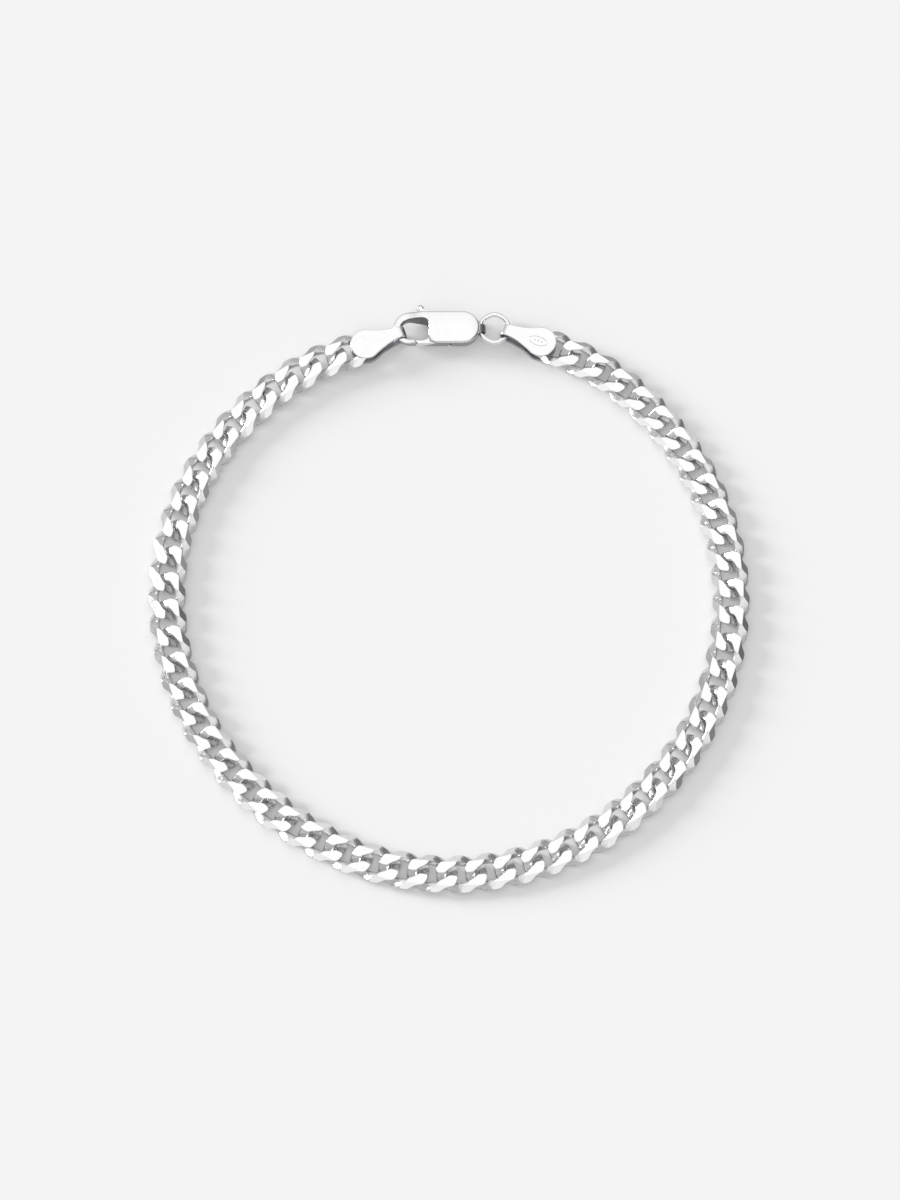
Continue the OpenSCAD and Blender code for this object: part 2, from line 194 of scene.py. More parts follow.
GROUPS = {"chain": ChainSizes, "tab": TabSizes, "clasp": ClaspSizes, "ring": RingSizes, "fit": FitSizes,
          "silver": SilverTones, "stage": StageSizes}
PREFIX = "bracelet_"


def fields(group):
    """The properties that a group adds to Blender's own."""
    return [item for item in group.bl_rna.properties if item.identifier not in ("rna_type", "name")]


def read_group(group):
    """Values of a property group, with lengths in millimetres and angles in degrees."""
    values = SimpleNamespace()
    for item in fields(group):
        value = getattr(group, item.identifier)
        if item.type == "FLOAT" and item.unit == "LENGTH":
            value = value / MM
        elif item.type == "FLOAT" and item.unit == "ROTATION":
            value = math.degrees(value)
        setattr(values, item.identifier, value)
    return values


def read_sizes():
    """All groups of sizes by their short names."""
    scene = bpy.context.scene
    return SimpleNamespace(**{name: read_group(getattr(scene, PREFIX + name)) for name in GROUPS})


# Plan of the whole bracelet, with the same rules as the solids

ROUTE_STEP = 15
# Distance of the chain from the middle at every step, as a share of half the loop's width
ROUTE_SHARE = np.array([1.000, 1.000, 1.001, 1.003, 1.006, 1.000, 0.990, 0.981, 0.994, 0.999, 1.002, 1.003,
                        1.001, 0.999, 0.998, 0.999, 1.006, 1.017, 1.023, 1.021, 1.016, 1.009, 1.004, 1.001])
END_SHARE = 0.995
# Angles from each end over which the route is drawn to the end link, stays at its height, and comes down
BLEND_ANGLE = 30
LEVEL_ANGLE = 5
RISE_ANGLE = 24
ROUTE_STEPS = 240
# The clasp is thin up to this share of a radius left of the middle of its opening's round end, and has its
# full thickness from this distance before the case
THIN_SHARE, THICK_BACK = 0.6, 0.7


def smooth(t):
    """Eased step from 0 to 1: 3t^2 - 2t^3, with t held between 0 and 1."""
    t = np.clip(t, 0, 1)
    return t * t * (3 - 2 * t)


def unit(v):
    """Vectors divided by their lengths."""
    return v / np.linalg.norm(v, axis=-1, keepdims=True)


def turned(degrees):
    """Unit vector in the plan at this angle from +X."""
    a = math.radians(degrees)
    return np.array([math.cos(a), math.sin(a)])


def bearing(v):
    """Angle of a vector in the plan from +X, in degrees."""
    return math.degrees(math.atan2(v[1], v[0]))


def full_turn(count):
    """Angles once round in that many even steps."""
    return np.linspace(0, 2 * np.pi, count, endpoint=False)


def outward(outline):
    """Unit normals of a closed outline that runs counter-clockwise, from each point's two neighbours."""
    run = np.roll(outline, -1, 0) - np.roll(outline, 1, 0)
    return unit(np.stack([run[:, 1], -run[:, 0]], -1))


def table_radius(loop_w, degrees):
    """Radius of the route: a Catmull-Rom curve through the shares on either side of each angle."""
    q = np.asarray(degrees, float) / ROUTE_STEP
    i = np.floor(q).astype(int)
    t = q - i
    a, b, c, d = (ROUTE_SHARE[(i + k) % len(ROUTE_SHARE)] for k in (-1, 0, 1, 2))
    return loop_w / 2 * (b + t / 2 * ((c - a) + t * ((2*a - 5*b + 4*c - d) + t * (3*(b - c) + d - a))))


def plan_bracelet(s):
    """Places of the clasp, ring, tabs and links. A tab's fold reaches the hook or the ring with the
    hanging gap at its corners, and the clasp lies at the height that brings the last links onto the route."""
    p = SimpleNamespace()
    p.clasp_r = s.clasp.clasp_w / 2
    p.clasp_z = s.clasp.clasp_t / 2
    p.nose_x = s.clasp.clasp_x - s.clasp.clasp_len / 2
    p.tail_x = s.clasp.clasp_x + s.clasp.clasp_len / 2 - p.clasp_r
    p.inner_r = (s.clasp.clasp_w - s.clasp.side_w - s.clasp.tip_w) / 2
    p.hook_x = p.nose_x + s.clasp.hook_w + p.inner_r
    p.open_drop = (s.clasp.side_w - s.clasp.tip_w) / 2
    p.open_x = p.nose_x + s.clasp.hook_w + s.clasp.open_len
    p.thin_x = p.hook_x - THIN_SHARE * p.inner_r
    p.thick_x = p.open_x - THICK_BACK
    p.eye_x = p.tail_x + p.clasp_r
    p.ring_x = p.eye_x + s.ring.ring_d / 2
    p.pivot = np.array([p.open_x + s.clasp.pivot_back, s.clasp.hub_d / 2 - p.clasp_r])
    p.ball_y = p.clasp_r + s.fit.lever_gap + s.clasp.ball_d / 2

    hook_reach, ring_reach = (
        math.sqrt(r**2 - (s.tab.neck_w / 2)**2) - s.fit.hang_gap + s.tab.tab_len + s.tab.seat_len
        for r in (p.inner_r, (s.ring.ring_d - s.ring.ring_wire) / 2))
    along = turned(s.tab.tab_angle)
    left_drop = p.open_drop + hook_reach * along[1]
    right_drop = ring_reach * along[1] - s.ring.ring_rise
    left_x = p.hook_x - hook_reach * along[0]
    right_x = p.ring_x + ring_reach * along[0]
    end_r = s.chain.loop_w / 2 * END_SHARE
    clasp_y = (left_drop + right_drop) / 2 + math.sqrt(end_r**2 - ((right_x - left_x) / 2)**2)
    right_end = np.array([right_x, clasp_y - right_drop])
    left_end = np.array([left_x, clasp_y - left_drop])
    p.start = bearing(right_end)
    p.stop = bearing(left_end) - 360
    p.start_miss = np.linalg.norm(right_end) - table_radius(s.chain.loop_w, p.start)
    p.stop_miss = np.linalg.norm(left_end) - table_radius(s.chain.loop_w, p.stop)

    top = clasp_y + p.ball_y + s.clasp.ball_d / 2
    p.middle = np.array([0, (top - table_radius(s.chain.loop_w, 270) - s.chain.chain_w / 2) / 2, 0])
    p.clasp = np.array([0, clasp_y, p.clasp_z]) - p.middle
    p.right_disc = np.append(right_end + s.tab.seat_len * turned(180 - s.tab.tab_angle), p.clasp_z) - p.middle
    p.left_disc = np.append(left_end + s.tab.seat_len * turned(s.tab.tab_angle), p.clasp_z) - p.middle

    table = np.linspace(p.start, p.stop, ROUTE_STEPS + 1)
    points = route_point(s, p, table)
    lengths = np.append(0, np.cumsum(np.linalg.norm(np.diff(points, axis=0), axis=1)))
    p.link_count = round(lengths[-1] / s.chain.link_pitch) + 1
    p.pitch = lengths[-1] / (p.link_count - 1)
    p.link_a = (p.pitch + s.chain.wire_w + s.chain.link_gap) / 2
    p.link_b = (s.chain.chain_w - s.chain.wire_w) / 2
    p.link_angles = np.interp(np.arange(p.link_count) * p.pitch, lengths, table)
    return p


def read_plan():
    """Sizes and plan of the bracelet."""
    s = read_sizes()
    return s, plan_bracelet(s)


def route_point(s, p, degrees):
    """Points of the chain's middle line: the route's radius, drawn to the end links near the clasp, and
    a height that rises from half the chain's thickness to the clasp's middle."""
    half = s.chain.chain_t / 2
    from_start = p.start - degrees
    from_stop = degrees - p.stop
    r = (table_radius(s.chain.loop_w, degrees) + p.start_miss * (1 - smooth(from_start / BLEND_ANGLE))
         + p.stop_miss * (1 - smooth(from_stop / BLEND_ANGLE)))
    right_fall, left_fall = (smooth((way - LEVEL_ANGLE) / RISE_ANGLE) for way in (from_start, from_stop))
    rise = 2 - right_fall - left_fall
    a = np.radians(degrees)
    return np.stack([r * np.cos(a), r * np.sin(a), half + (p.clasp_z - half) * rise], -1)


def link_places(s, p, first, last):
    """Origins and axes of the links from first to last. x runs along the chain between the route's points
    at the link's two ends, y points outward and z up, and the origin lies at the ends' mean height."""
    a = p.link_angles[first:last + 1]
    half = (p.link_a + s.chain.wire_w / 2) / s.chain.loop_w * 360 / math.pi
    ahead = route_point(s, p, a + half)
    behind = route_point(s, p, a - half)
    x = unit(behind - ahead)
    y = unit(np.cross(UP, x))
    origins = route_point(s, p, a)
    origins[:, 2] = (ahead[:, 2] + behind[:, 2]) / 2
    return origins - p.middle, np.stack([x, y, np.cross(x, y)], 1)


# Meshes

def grid_faces(rows, columns, wrap_rows=False):
    """Quads of a grid whose columns close on themselves."""
    i, j = np.meshgrid(np.arange(rows if wrap_rows else rows - 1), np.arange(columns), indexing="ij")
    k, m = (i + 1) % rows, (j + 1) % columns
    return np.stack([i * columns + j, i * columns + m, k * columns + m, k * columns + j], -1).reshape(-1, 4)


def closed_tube(rings):
    """Points and faces of a skin through the rings, an array (rows, columns, 3), whose first and last rings
    are closed by fans to their middles."""
    rows, columns = rings.shape[:2]
    points = np.concatenate([rings.reshape(-1, 3), rings[[0, -1]].mean(1)])
    j = np.arange(columns)
    m = (j + 1) % columns
    last = (rows - 1) * columns
    start, end = rows * columns, rows * columns + 1
    fans = np.concatenate([np.stack([np.full(columns, start), m, j], -1),
                           np.stack([np.full(columns, end), last + j, last + m], -1)])
    return points, grid_faces(rows, columns).tolist() + fans.tolist()


def raw_mesh(name, points, faces, welded=False):
    """Mesh in millimetres, with its faces turned outward, and its equal points made one where asked."""
    mesh = bpy.data.meshes.new(name)
    mesh.from_pydata(np.asarray(points, float).tolist(), [], [list(map(int, f)) for f in faces])
    grown = bmesh.new()
    grown.from_mesh(mesh)
    if welded:
        bmesh.ops.remove_doubles(grown, verts=grown.verts[:], dist=0.0001)
    bmesh.ops.recalc_face_normals(grown, faces=grown.faces[:])
    grown.to_mesh(mesh)
    grown.free()
    return mesh


def capped(name, rings):
    """Mesh of a skin through the rings, with one face over each end."""
    rows, columns = rings.shape[:2]
    ends = [list(range(columns)), list(range((rows - 1) * columns, rows * columns))]
    return raw_mesh(name, rings.reshape(-1, 3), grid_faces(rows, columns).tolist() + ends)


def raised(plan, z):
    """The plan's points at one height, or each at its own."""
    return np.append(plan, np.broadcast_to(z, len(plan))[:, None], 1)


def mark_faces(mesh, marks):
    """Gives each face the material that its mark counts to."""
    mesh.polygons.foreach_set("material_index", marks.astype(np.int32))


def carry(points, origins, axes):
    """Copies of the points at each place: origin + x*X + y*Y + z*Z."""
    return origins[:, None] + np.asarray(points)[None] @ axes


def turned_axes(degrees):
    """Axes of a place turned about +Z."""
    c, n = turned(degrees)
    return np.array([[[c, n, 0], [-n, c, 0], [0, 0, 1]]])


def linked(name, data):
    """Object in the scene that shows the data."""
    item = bpy.data.objects.new(name, data)
    bpy.context.scene.collection.objects.link(item)
    return item


def make_piece(name, mesh, body, materials, nodes=(), flat=None):
    """Object at the origin from a mesh in millimetres, which rides on the body and stands for the nodes.
    The faces marked flat keep their own plane's shading."""
    mesh.transform(Matrix.Scale(MM, 4))
    mesh.name = name
    for material in materials:
        mesh.materials.append(material)
    marks = np.zeros(len(mesh.polygons), np.int32)
    mesh.polygons.foreach_get("material_index", marks)
    mesh.polygons.foreach_set("use_smooth", marks != flat)
    piece = linked(name, mesh)
    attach(piece, body)
    if nodes:
        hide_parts(*nodes)


def modified(mesh, *steps):
    """Copy of the mesh with modifiers applied. Each step is a kind of modifier with its settings."""
    holder = linked("holder", mesh)
    for kind, settings in steps:
        modifier = holder.modifiers.new(kind, kind)
        for key, value in settings.items():
            setattr(modifier, key, value)
    graph = bpy.context.evaluated_depsgraph_get()
    result = bpy.data.meshes.new_from_object(holder.evaluated_get(graph))
    bpy.data.objects.remove(holder)
    result.materials.clear()
    return result


def combined(mesh, operation, *tools):
    """The mesh united with the tools, or with the tools taken away, one after another."""
    for tool in tools:
        helper = linked("helper", tool)
        mesh = modified(mesh, ("BOOLEAN", {"object": helper, "operation": operation, "solver": "MANIFOLD"}))
        bpy.data.objects.remove(helper)
    return mesh


# Chain

WIRE_SECTIONS = 96
WIRE_SIDES = 32
FACET = 1


def power(v, p):
    """Signed power: sign(v)*|v|^p."""
    return np.sign(v) * np.abs(v)**p


def twisted_oval(s, p):
    """Surface of an uncut link, a function of the way round the oval and the way round the wire. The oval
    |x/a|^n + |y/b|^n = 1 carries the section |u/p|^e + |w/q|^e = 1, with u along the oval's outward normal
    and w up, and every point then turns about x by -twist*|sin(rate*x)|^k with the sine's sign, where the
    rate*x is held within a right angle."""
    t = full_turn(WIRE_SECTIONS)
    v = full_turn(WIRE_SIDES) + np.pi / WIRE_SIDES
    n, e = s.chain.oval_power, s.chain.wire_power
    oval = np.stack([p.link_a * power(np.cos(t), 2 / n), p.link_b * power(np.sin(t), 2 / n)], -1)
    u = s.chain.wire_w / 2 * power(np.cos(v), 2 / e)
    w = s.chain.wire_t / 2 * power(np.sin(v), 2 / e)
    across, out = np.moveaxis(oval[:, None] + u[:, None] * outward(oval)[:, None], -1, 0)
    wave = np.sin(np.radians(np.clip(s.chain.twist_span / p.pitch * across, -90, 90)))
    a = np.radians(-s.chain.link_twist * power(wave, s.chain.twist_power))
    return np.stack([across, out * np.cos(a) - w * np.sin(a), out * np.sin(a) + w * np.cos(a)], -1)


def facet_planes(s):
    """Normals and distances of the six planes that the diamond cutter works to: two flats, four bevels."""
    half_t = s.chain.chain_t / 2
    half_flat = s.chain.flat_w / 2
    normal = unit(np.array([half_t - s.chain.edge_t / 2, s.chain.chain_w / 2 - half_flat]))
    reach = float(normal @ [half_flat, half_t])
    bevels = [((0, y * normal[0], z * normal[1]), reach) for y in (1, -1) for z in (1, -1)]
    return [((0, 0, 1), half_t), ((0, 0, -1), half_t)] + bevels


def cut_link(s, p):
    """One diamond-cut link: points, triangles and, for each triangle, 1 on the facets and 0 on the wire."""
    blank = raw_mesh("blank", twisted_oval(s, p).reshape(-1, 3), grid_faces(WIRE_SECTIONS, WIRE_SIDES, True))
    link = bmesh.new()
    link.from_mesh(blank)
    bpy.data.meshes.remove(blank)
    for normal, reach in facet_planes(s):
        bmesh.ops.bisect_plane(link, geom=link.verts[:] + link.edges[:] + link.faces[:], dist=0.0005,
                               plane_co=[reach * n for n in normal], plane_no=normal,
                               use_snap_center=True, clear_outer=True)
        rim = [e for e in link.edges if len(e.link_faces) == 1]
        for face in bmesh.ops.holes_fill(link, edges=rim, sides=0)["faces"]:
            face.material_index = FACET
    bmesh.ops.recalc_face_normals(link, faces=link.faces[:])
    bmesh.ops.triangulate(link, faces=link.faces[:])
    points = np.array([v.co for v in link.verts])
    faces = np.array([[v.index for v in f.verts] for f in link.faces])
    cut = np.array([f.material_index for f in link.faces])
    link.free()
    return points, faces, cut


def swayed(axes, angles):
    """Axes rolled about x and tipped about y by small angles, one pair for each place."""
    roll, tip = np.radians(angles).T
    x, y, z = axes[:, 0], axes[:, 1], axes[:, 2]
    y = unit(y + z * roll[:, None])
    x = unit(x + z * tip[:, None])
    y = unit(y - x * np.sum(x * y, 1, keepdims=True))
    return np.stack([x, y, np.cross(x, y)], 1)


def link_rows(s, p, link, first, last):
    """Points, triangles and facet marks of the links from first to last, each a little out of line and
    none lower than the floor. The first link's number seeds the draw."""
    points, faces, cut = link
    origins, axes = link_places(s, p, first, last)
    draw = np.random.default_rng(first)
    axes = swayed(axes, draw.uniform(-s.chain.sway, s.chain.sway, (len(origins), 2)))
    placed = carry(points, origins, axes)
    placed[..., 2] -= np.minimum(placed[..., 2].min(1), 0)[:, None]
    faces = faces[None] + np.arange(len(origins))[:, None, None] * len(points)
    return placed.reshape(-1, 3), faces.reshape(-1, 3), np.tile(cut, len(origins))


def chain_mesh(name, points, faces, cut):
    """Mesh whose triangles take the first material on the wire and the second on the facets."""
    mesh = bpy.data.meshes.new(name)
    mesh.from_pydata(points.tolist(), [], faces.tolist())
    mark_faces(mesh, cut)
    return mesh


# End tabs

TAB_COLUMNS = 25
# Marks of the strip's outer side, and of its inner side, which takes grey painted shade between the fold's
# layers
POLISHED_STRIP = 2
FOLD_INSIDE_SHADE = 3


def tab_half_width(s, x):
    """Half width of a tab at distance x from its disc's middle: the disc's circle, then the fillet's
    circle down to the neck."""
    r = s.tab.disc_d / 2
    fillet_r = s.tab.neck_fillet
    centre_y = s.tab.neck_w / 2 + fillet_r
    centre_x = math.sqrt((r + fillet_r)**2 - centre_y**2)
    tangent = r * centre_x / (r + fillet_r)
    disc = np.sqrt(np.maximum(r**2 - x**2, 0))
    fillet = centre_y - np.sqrt(fillet_r**2 - np.clip(x - centre_x, -fillet_r, 0)**2)
    return np.where(x < tangent, disc, fillet)


def strip_line(s):
    """Side view of the strip's middle layer from the upper disc's far end round the fold to the lower
    one's: x, z, and the outward normal at each row."""
    r = s.tab.disc_d / 2
    half_t = s.tab.strip_t / 2
    low = s.chain.chain_t / 2 - s.tab.solder_sink + half_t
    high = s.clasp.hook_t / 2 + 2 * s.fit.hang_gap + half_t
    bend = s.tab.fold_r + half_t
    end = s.tab.tab_len + half_t
    disc_x = -r * np.cos(np.linspace(0, np.pi / 2, 30))
    strip_x = np.linspace(0, end - bend, 40)[1:]
    x = np.append(disc_x, strip_x)
    z = low + (high - low) * smooth((x - s.tab.slope_start) / (s.tab.slope_end - s.tab.slope_start))
    a = np.radians(np.linspace(90, 0, 9)[1:])
    x = np.concatenate([x, end - bend + bend * np.cos(a), [end]])
    z = np.concatenate([z, high - bend + bend * np.sin(a), [0]])
    x = np.append(x, x[-2::-1])
    z = np.append(z, -z[-2::-1])
    run = unit(np.stack([np.gradient(x), np.gradient(z)], -1))
    return x, z, np.stack([-run[:, 1], run[:, 0]], -1)


def folded_strip(s):
    """Skin of a tab with its disc's middle at the origin and its fold towards +X. Across the strip y is
    the half width times the sine of the column's angle, and the thickness falls along a quarter ellipse
    within the edge rounding."""
    x, z, normal = strip_line(s)
    width = tab_half_width(s, x)
    slope = np.gradient(width, np.arange(len(x))) / np.maximum(np.hypot(np.gradient(x), np.gradient(z)), 1e-6)
    lean = 1 / np.sqrt(1 + slope**2)
    column = np.radians(np.linspace(-90, 90, TAB_COLUMNS))
    y = width[:, None] * np.sin(column)
    inside = (width[:, None] - np.abs(y)) * lean[:, None]
    disc = x < 0
    inside[disc] = s.tab.disc_d / 2 - np.hypot(x[disc, None], y[disc])
    level = 1 - np.clip(inside / s.tab.edge_r, 0, 1)
    h = s.tab.strip_t / 2 * np.sqrt(1 - level**2)

    def layer(side):
        return np.stack([x[:, None] + side * h * normal[:, :1], y, z[:, None] + side * h * normal[:, 1:]], -1)

    rings = np.concatenate([layer(1), layer(-1)[:, -2:0:-1]], 1)[1:-1]
    points, faces = closed_tube(rings)
    column = np.arange(len(faces)) % rings.shape[1]
    # The inner side, between the fold's layers, takes the grey painted shade
    return points, faces, np.where(column < TAB_COLUMNS - 1, POLISHED_STRIP, FOLD_INSIDE_SHADE)


def joined(parts):
    """Points, faces and marks of several shells as one."""
    points, faces, marks, start = [], [], [], 0
    for part_points, part_faces, mark in parts:
        points.append(np.asarray(part_points))
        faces += [[i + start for i in face] for face in part_faces]
        marks.append(np.broadcast_to(mark, len(part_faces)))
        start += len(part_points)
    return np.concatenate(points), faces, np.concatenate(marks)


def dome(centre, r, height, limit, rows, columns):
    """Points and faces of a ball pressed to that height: circles from -limit to limit degrees of rise."""
    a = np.radians(np.linspace(-limit, limit, rows))[:, None]
    v = full_turn(columns)
    return closed_tube(np.stack([centre[0] + r * np.cos(a) * np.cos(v), centre[1] + r * np.cos(a) * np.sin(v),
                                 centre[2] + height * np.sin(a) + 0 * v], -1))


def cartouche(s):
    """Plain oval line and three pips, raised by a hair from the disc and a little off its middle: a
    flattened half-round carried along an ellipse, and flat domes."""
    half_line_w, line_h, pip_r, pip_gap = 0.045, 0.025, 0.12, 0.42
    top = s.chain.chain_t / 2 - s.tab.solder_sink + s.tab.strip_t
    t, v = full_turn(72), full_turn(10)
    a, b = s.tab.stamp_len / 2, s.tab.stamp_w / 2
    out = unit(np.stack([b * np.cos(t), a * np.sin(t)], -1))
    wide = half_line_w * np.cos(v)
    rings = np.stack([a * np.cos(t)[:, None] + out[:, :1] * wide, b * np.sin(t)[:, None] + out[:, 1:] * wide,
                      np.broadcast_to(top + line_h * np.sin(v), (len(t), len(v)))], -1)
    shells = [(*dome([k * pip_gap, 0, top], pip_r, line_h, 80, 9, 12), 0) for k in (-1, 0, 1)]
    points, faces, _ = joined([(rings.reshape(-1, 3), grid_faces(len(t), len(v), True), 0)] + shells)
    return points + [0.32, 0.08, 0], faces


# Clasp

# Width of the lever's arm and thickness of its thumb plate
ARM_W, THUMB_T = 0.7, 0.3
# How far right of the middle of the opening's round end the hook's slanted tip starts and ends
TIP_TOP, TIP_FOOT = 0.15, 0.6


def arc(centre, r, start, stop, steps):
    """Points along an arc in the plan."""
    a = np.radians(np.linspace(start, stop, steps + 1))
    return np.asarray(centre) + r * np.stack([np.cos(a), np.sin(a)], -1)


def line(a, b, steps):
    """Points from a towards b, without b."""
    t = np.linspace(0, 1, steps, endpoint=False)[:, None]
    return (1 - t) * np.asarray(a, float) + t * np.asarray(b, float)


def corners(x, y):
    """Corners of the rectangle between two values of x and two of y."""
    return np.array([[x[0], y[0]], [x[1], y[0]], [x[1], y[1]], [x[0], y[1]]])


def half_height(s, p, x):
    """Half the clasp's thickness: full over the case, easing down to the hook's at its round end, and
    falling as a parabola to the case's own."""
    full, thin = s.clasp.clasp_t / 2, s.clasp.hook_t / 2
    over_hook = smooth((x - p.thin_x) / (p.thick_x - p.thin_x))
    near_tail = np.clip((x - p.eye_x) / s.clasp.tail_ease + 1, 0, 1)
    return thin + (full - thin) * over_hook - s.clasp.tail_drop * near_tail**2


def cast_form(s, p):
    """Outer form of the clasp: a profile carried round a stadium. From the middle the face falls by the
    crown to the upper edge's quarter round, runs down the side, and draws in below to a flatter face."""
    r = p.clasp_r
    belly_top = 0.25
    nose = p.nose_x + r
    outline = np.concatenate([arc([p.tail_x, 0], r, -90, 90, 40)[:-1], line([p.tail_x, r], [nose, r], 40),
                              arc([nose, 0], r, 90, 270, 40)[:-1], line([nose, -r], [p.tail_x, -r], 40)])
    middle = np.stack([np.clip(outline[:, 0], nose, p.tail_x), np.zeros(len(outline))], -1)
    a = np.radians(np.linspace(90, 0, 9))
    b = np.radians(np.linspace(0, -90, 15))[1:]
    edge_r, belly = s.clasp.edge_r, s.clasp.belly_w
    face_top = 1 - s.clasp.crown / p.clasp_z
    inset = np.concatenate([edge_r * (1 - np.cos(a)), belly * (1 - np.cos(b))])
    side_z = face_top - edge_r / p.clasp_z
    height = np.concatenate([face_top - edge_r / p.clasp_z * (1 - np.sin(a)),
                             belly_top * side_z + (face_top + belly_top * side_z) * np.sin(b)])
    rings = []
    for d, z in zip(inset, height):
        ring = outline - d * unit(outline - middle)
        rings.append(raised(ring, half_height(s, p, ring[:, 0]) * z))
    top, low = rings[0], rings[-1]
    for share_in in np.linspace(0.1, 1, 10):
        keep = 1 - share_in
        rows = []
        for ring, sign in ((top, 1), (low, -1)):
            flat = middle + keep * (ring[:, :2] - middle)
            half = half_height(s, p, flat[:, 0])
            rows.append(raised(flat, half * sign * face_top + sign * (1 - face_top) * (1 - keep**2) * half))
        rings = [rows[0], *rings, rows[1]]
    rings = np.array(rings)
    return raw_mesh("cast form", rings.reshape(-1, 3), grid_faces(*rings.shape[:2]), True)


def prism(outline, low, high):
    """Straight form over a plan outline."""
    return capped("prism", np.stack([raised(outline, z) for z in (low, high)]))


def opening_tool(s, p):
    """Cutter for the opening in the hook. Its outline flares along a quarter round at both faces, widely
    along the hook and hardly at the case, so that the hook is left with a soft edge."""
    r, corner, drop = p.inner_r, s.clasp.open_corner, -p.open_drop
    straight = p.open_x - corner
    outline = np.concatenate([
        arc([p.hook_x, drop], r, 90, 270, 40), line([p.hook_x, drop - r], [straight, drop - r], 12)[1:],
        arc([straight, drop - r + corner], corner, -90, 0, 12),
        arc([straight, drop + r - corner], corner, 0, 90, 12),
        line([straight, drop + r], [p.hook_x, drop + r], 12)[1:]])
    out = outward(outline)
    h = half_height(s, p, outline[:, 0])
    hook_ease, ease_loss = 0.26, 0.18
    ease = hook_ease - ease_loss * smooth((outline[:, 0] - p.hook_x) / (p.open_x - p.hook_x))
    a = np.radians(np.linspace(0, 90, 7))
    upper = [(ease * (1 - math.cos(k)), h - ease + ease * math.sin(k)) for k in a]
    upper.append((ease, h + p.clasp_z))
    rows = [(e, -z) for e, z in upper[::-1]] + upper
    return capped("opening", np.array([raised(outline + e[:, None] * out, z) for e, z in rows]))


def gate_plan(s, p):
    """Plan of the gap that the lever closes, from the slanted tip to the case's rounded corner."""
    corner, overlap = 1.0, 0.02
    top = -p.open_drop - p.inner_r + overlap
    low = -p.clasp_r - corner
    foot, right = p.hook_x + TIP_FOOT, p.open_x + corner
    notch = top + s.clasp.open_corner
    return np.concatenate([[[p.hook_x + TIP_TOP, top], [foot, -p.clasp_r], [foot, low], [right, low]],
                           arc([right, corner - p.clasp_r], corner, -90, -180, 14),
                           [[p.open_x, notch], [p.open_x - s.clasp.open_corner, notch]]])


def bar_plan(a, b, w):
    """Plan of a flat bar with round ends."""
    a, b = np.asarray(a, float), np.asarray(b, float)
    way = bearing(b - a)
    return np.concatenate([arc(b, w / 2, way - 90, way + 90, 12), arc(a, w / 2, way + 90, way + 270, 12)])


def lever_sizes(s, p):
    """Points of the lever's plan about its pin: the gate's end, tip and root, the arm's end and the ball."""
    top_play, foot_play, gate_drop, arm_reach, ball_reach = 0.16, 0.12, 0.05, 2.3, 0.62
    q = SimpleNamespace()
    q.low = s.fit.lever_gap - s.clasp.hub_d / 2
    gate_top = -p.open_drop - p.inner_r
    q.end = np.array([p.hook_x + TIP_TOP + top_play, gate_top - gate_drop]) - p.pivot
    q.tip = np.array([p.hook_x + TIP_FOOT + foot_play - p.pivot[0], q.low])
    q.root_x = p.open_x - p.pivot[0]
    q.thumb_y = p.clasp_r + s.fit.lever_gap - p.pivot[1]
    q.arm_end = np.array([-arm_reach, q.thumb_y + THUMB_T - ARM_W / 2])
    q.ball = np.array([q.arm_end[0] - ball_reach, p.ball_y - p.pivot[1]])
    return q


def lever_space(s, p):
    """Outlines of the room that the lever swings in: about its hub, along its arm and round its gate."""
    q = lever_sizes(s, p)
    shut = bearing(q.arm_end)
    far = 1.5 * s.clasp.clasp_w
    width = ARM_W + 2 * s.fit.lever_gap
    hub = s.clasp.hub_d / 2 + s.fit.lever_gap
    below, above = -s.clasp.hub_d, 1.35
    swing = [shut, shut - s.clasp.lever_swing / 2, shut - s.clasp.lever_swing]
    outlines = [arc([0, 0], hub, 0, 360, 48)[:-1]]
    outlines += [bar_plan([0, 0], far * turned(a), width) for a in swing]
    outlines.append(np.array([[0, 0], far * turned(swing[2]), far * turned(swing[0])]))
    outlines.append(np.array([[q.tip[0], below], [0, below], [0, hub], [q.root_x, above], [q.tip[0], above]]))
    # Squares the room's end where its circle would leave a knife edge in the case's side
    outlines.append(corners((-0.2, 0.56), (below, -0.75)))
    return [outline + p.pivot for outline in outlines]


def torus(centre, ring_r, wire_r):
    """Points and faces of a ring that lies flat."""
    t, v = full_turn(96)[:, None], full_turn(24)
    r = ring_r + wire_r * np.cos(v)
    rings = np.stack([centre[0] + r * np.cos(t), centre[1] + r * np.sin(t), wire_r * np.sin(v) + 0 * t], -1)
    return rings.reshape(-1, 3), grid_faces(len(t), len(v), True)


def eye_form(s, p):
    """The lug that the jump ring runs through: a barrel across the clasp's end with rounded ends."""
    wall, half_w, ease = 0.24, 0.53, 0.14
    r = s.ring.ring_wire / 2 + s.fit.hang_gap + wall
    a = np.radians(np.linspace(90, 0, 7))
    y = half_w - ease + ease * np.sin(a)
    y = np.append(y, -y[::-1])
    k = r - ease + ease * np.append(np.cos(a), np.cos(a[::-1]))
    v = full_turn(40)
    rings = np.stack([p.eye_x + k[:, None] * np.cos(v), np.broadcast_to(y[:, None], (len(y), len(v))),
                      k[:, None] * np.sin(v)], -1)
    return raw_mesh("eye", *closed_tube(rings))


def blended(mesh, voxel, passes):
    """The mesh as one skin of even cells whose sharp edges are worn soft, as tumbling leaves a casting."""
    return modified(mesh, ("REMESH", {"mode": "VOXEL", "voxel_size": voxel, "use_smooth_shade": True}),
                    ("SMOOTH", {"factor": 0.5, "iterations": passes}))


# Marks of the clasp's faces that take dark grey painted shade, and of those that take grey painted shade
RECESS_SHADE, WALL_SHADE = 1, 2
# Faces are walls up to this upward part of their normal
WALL_RISE = 0.4


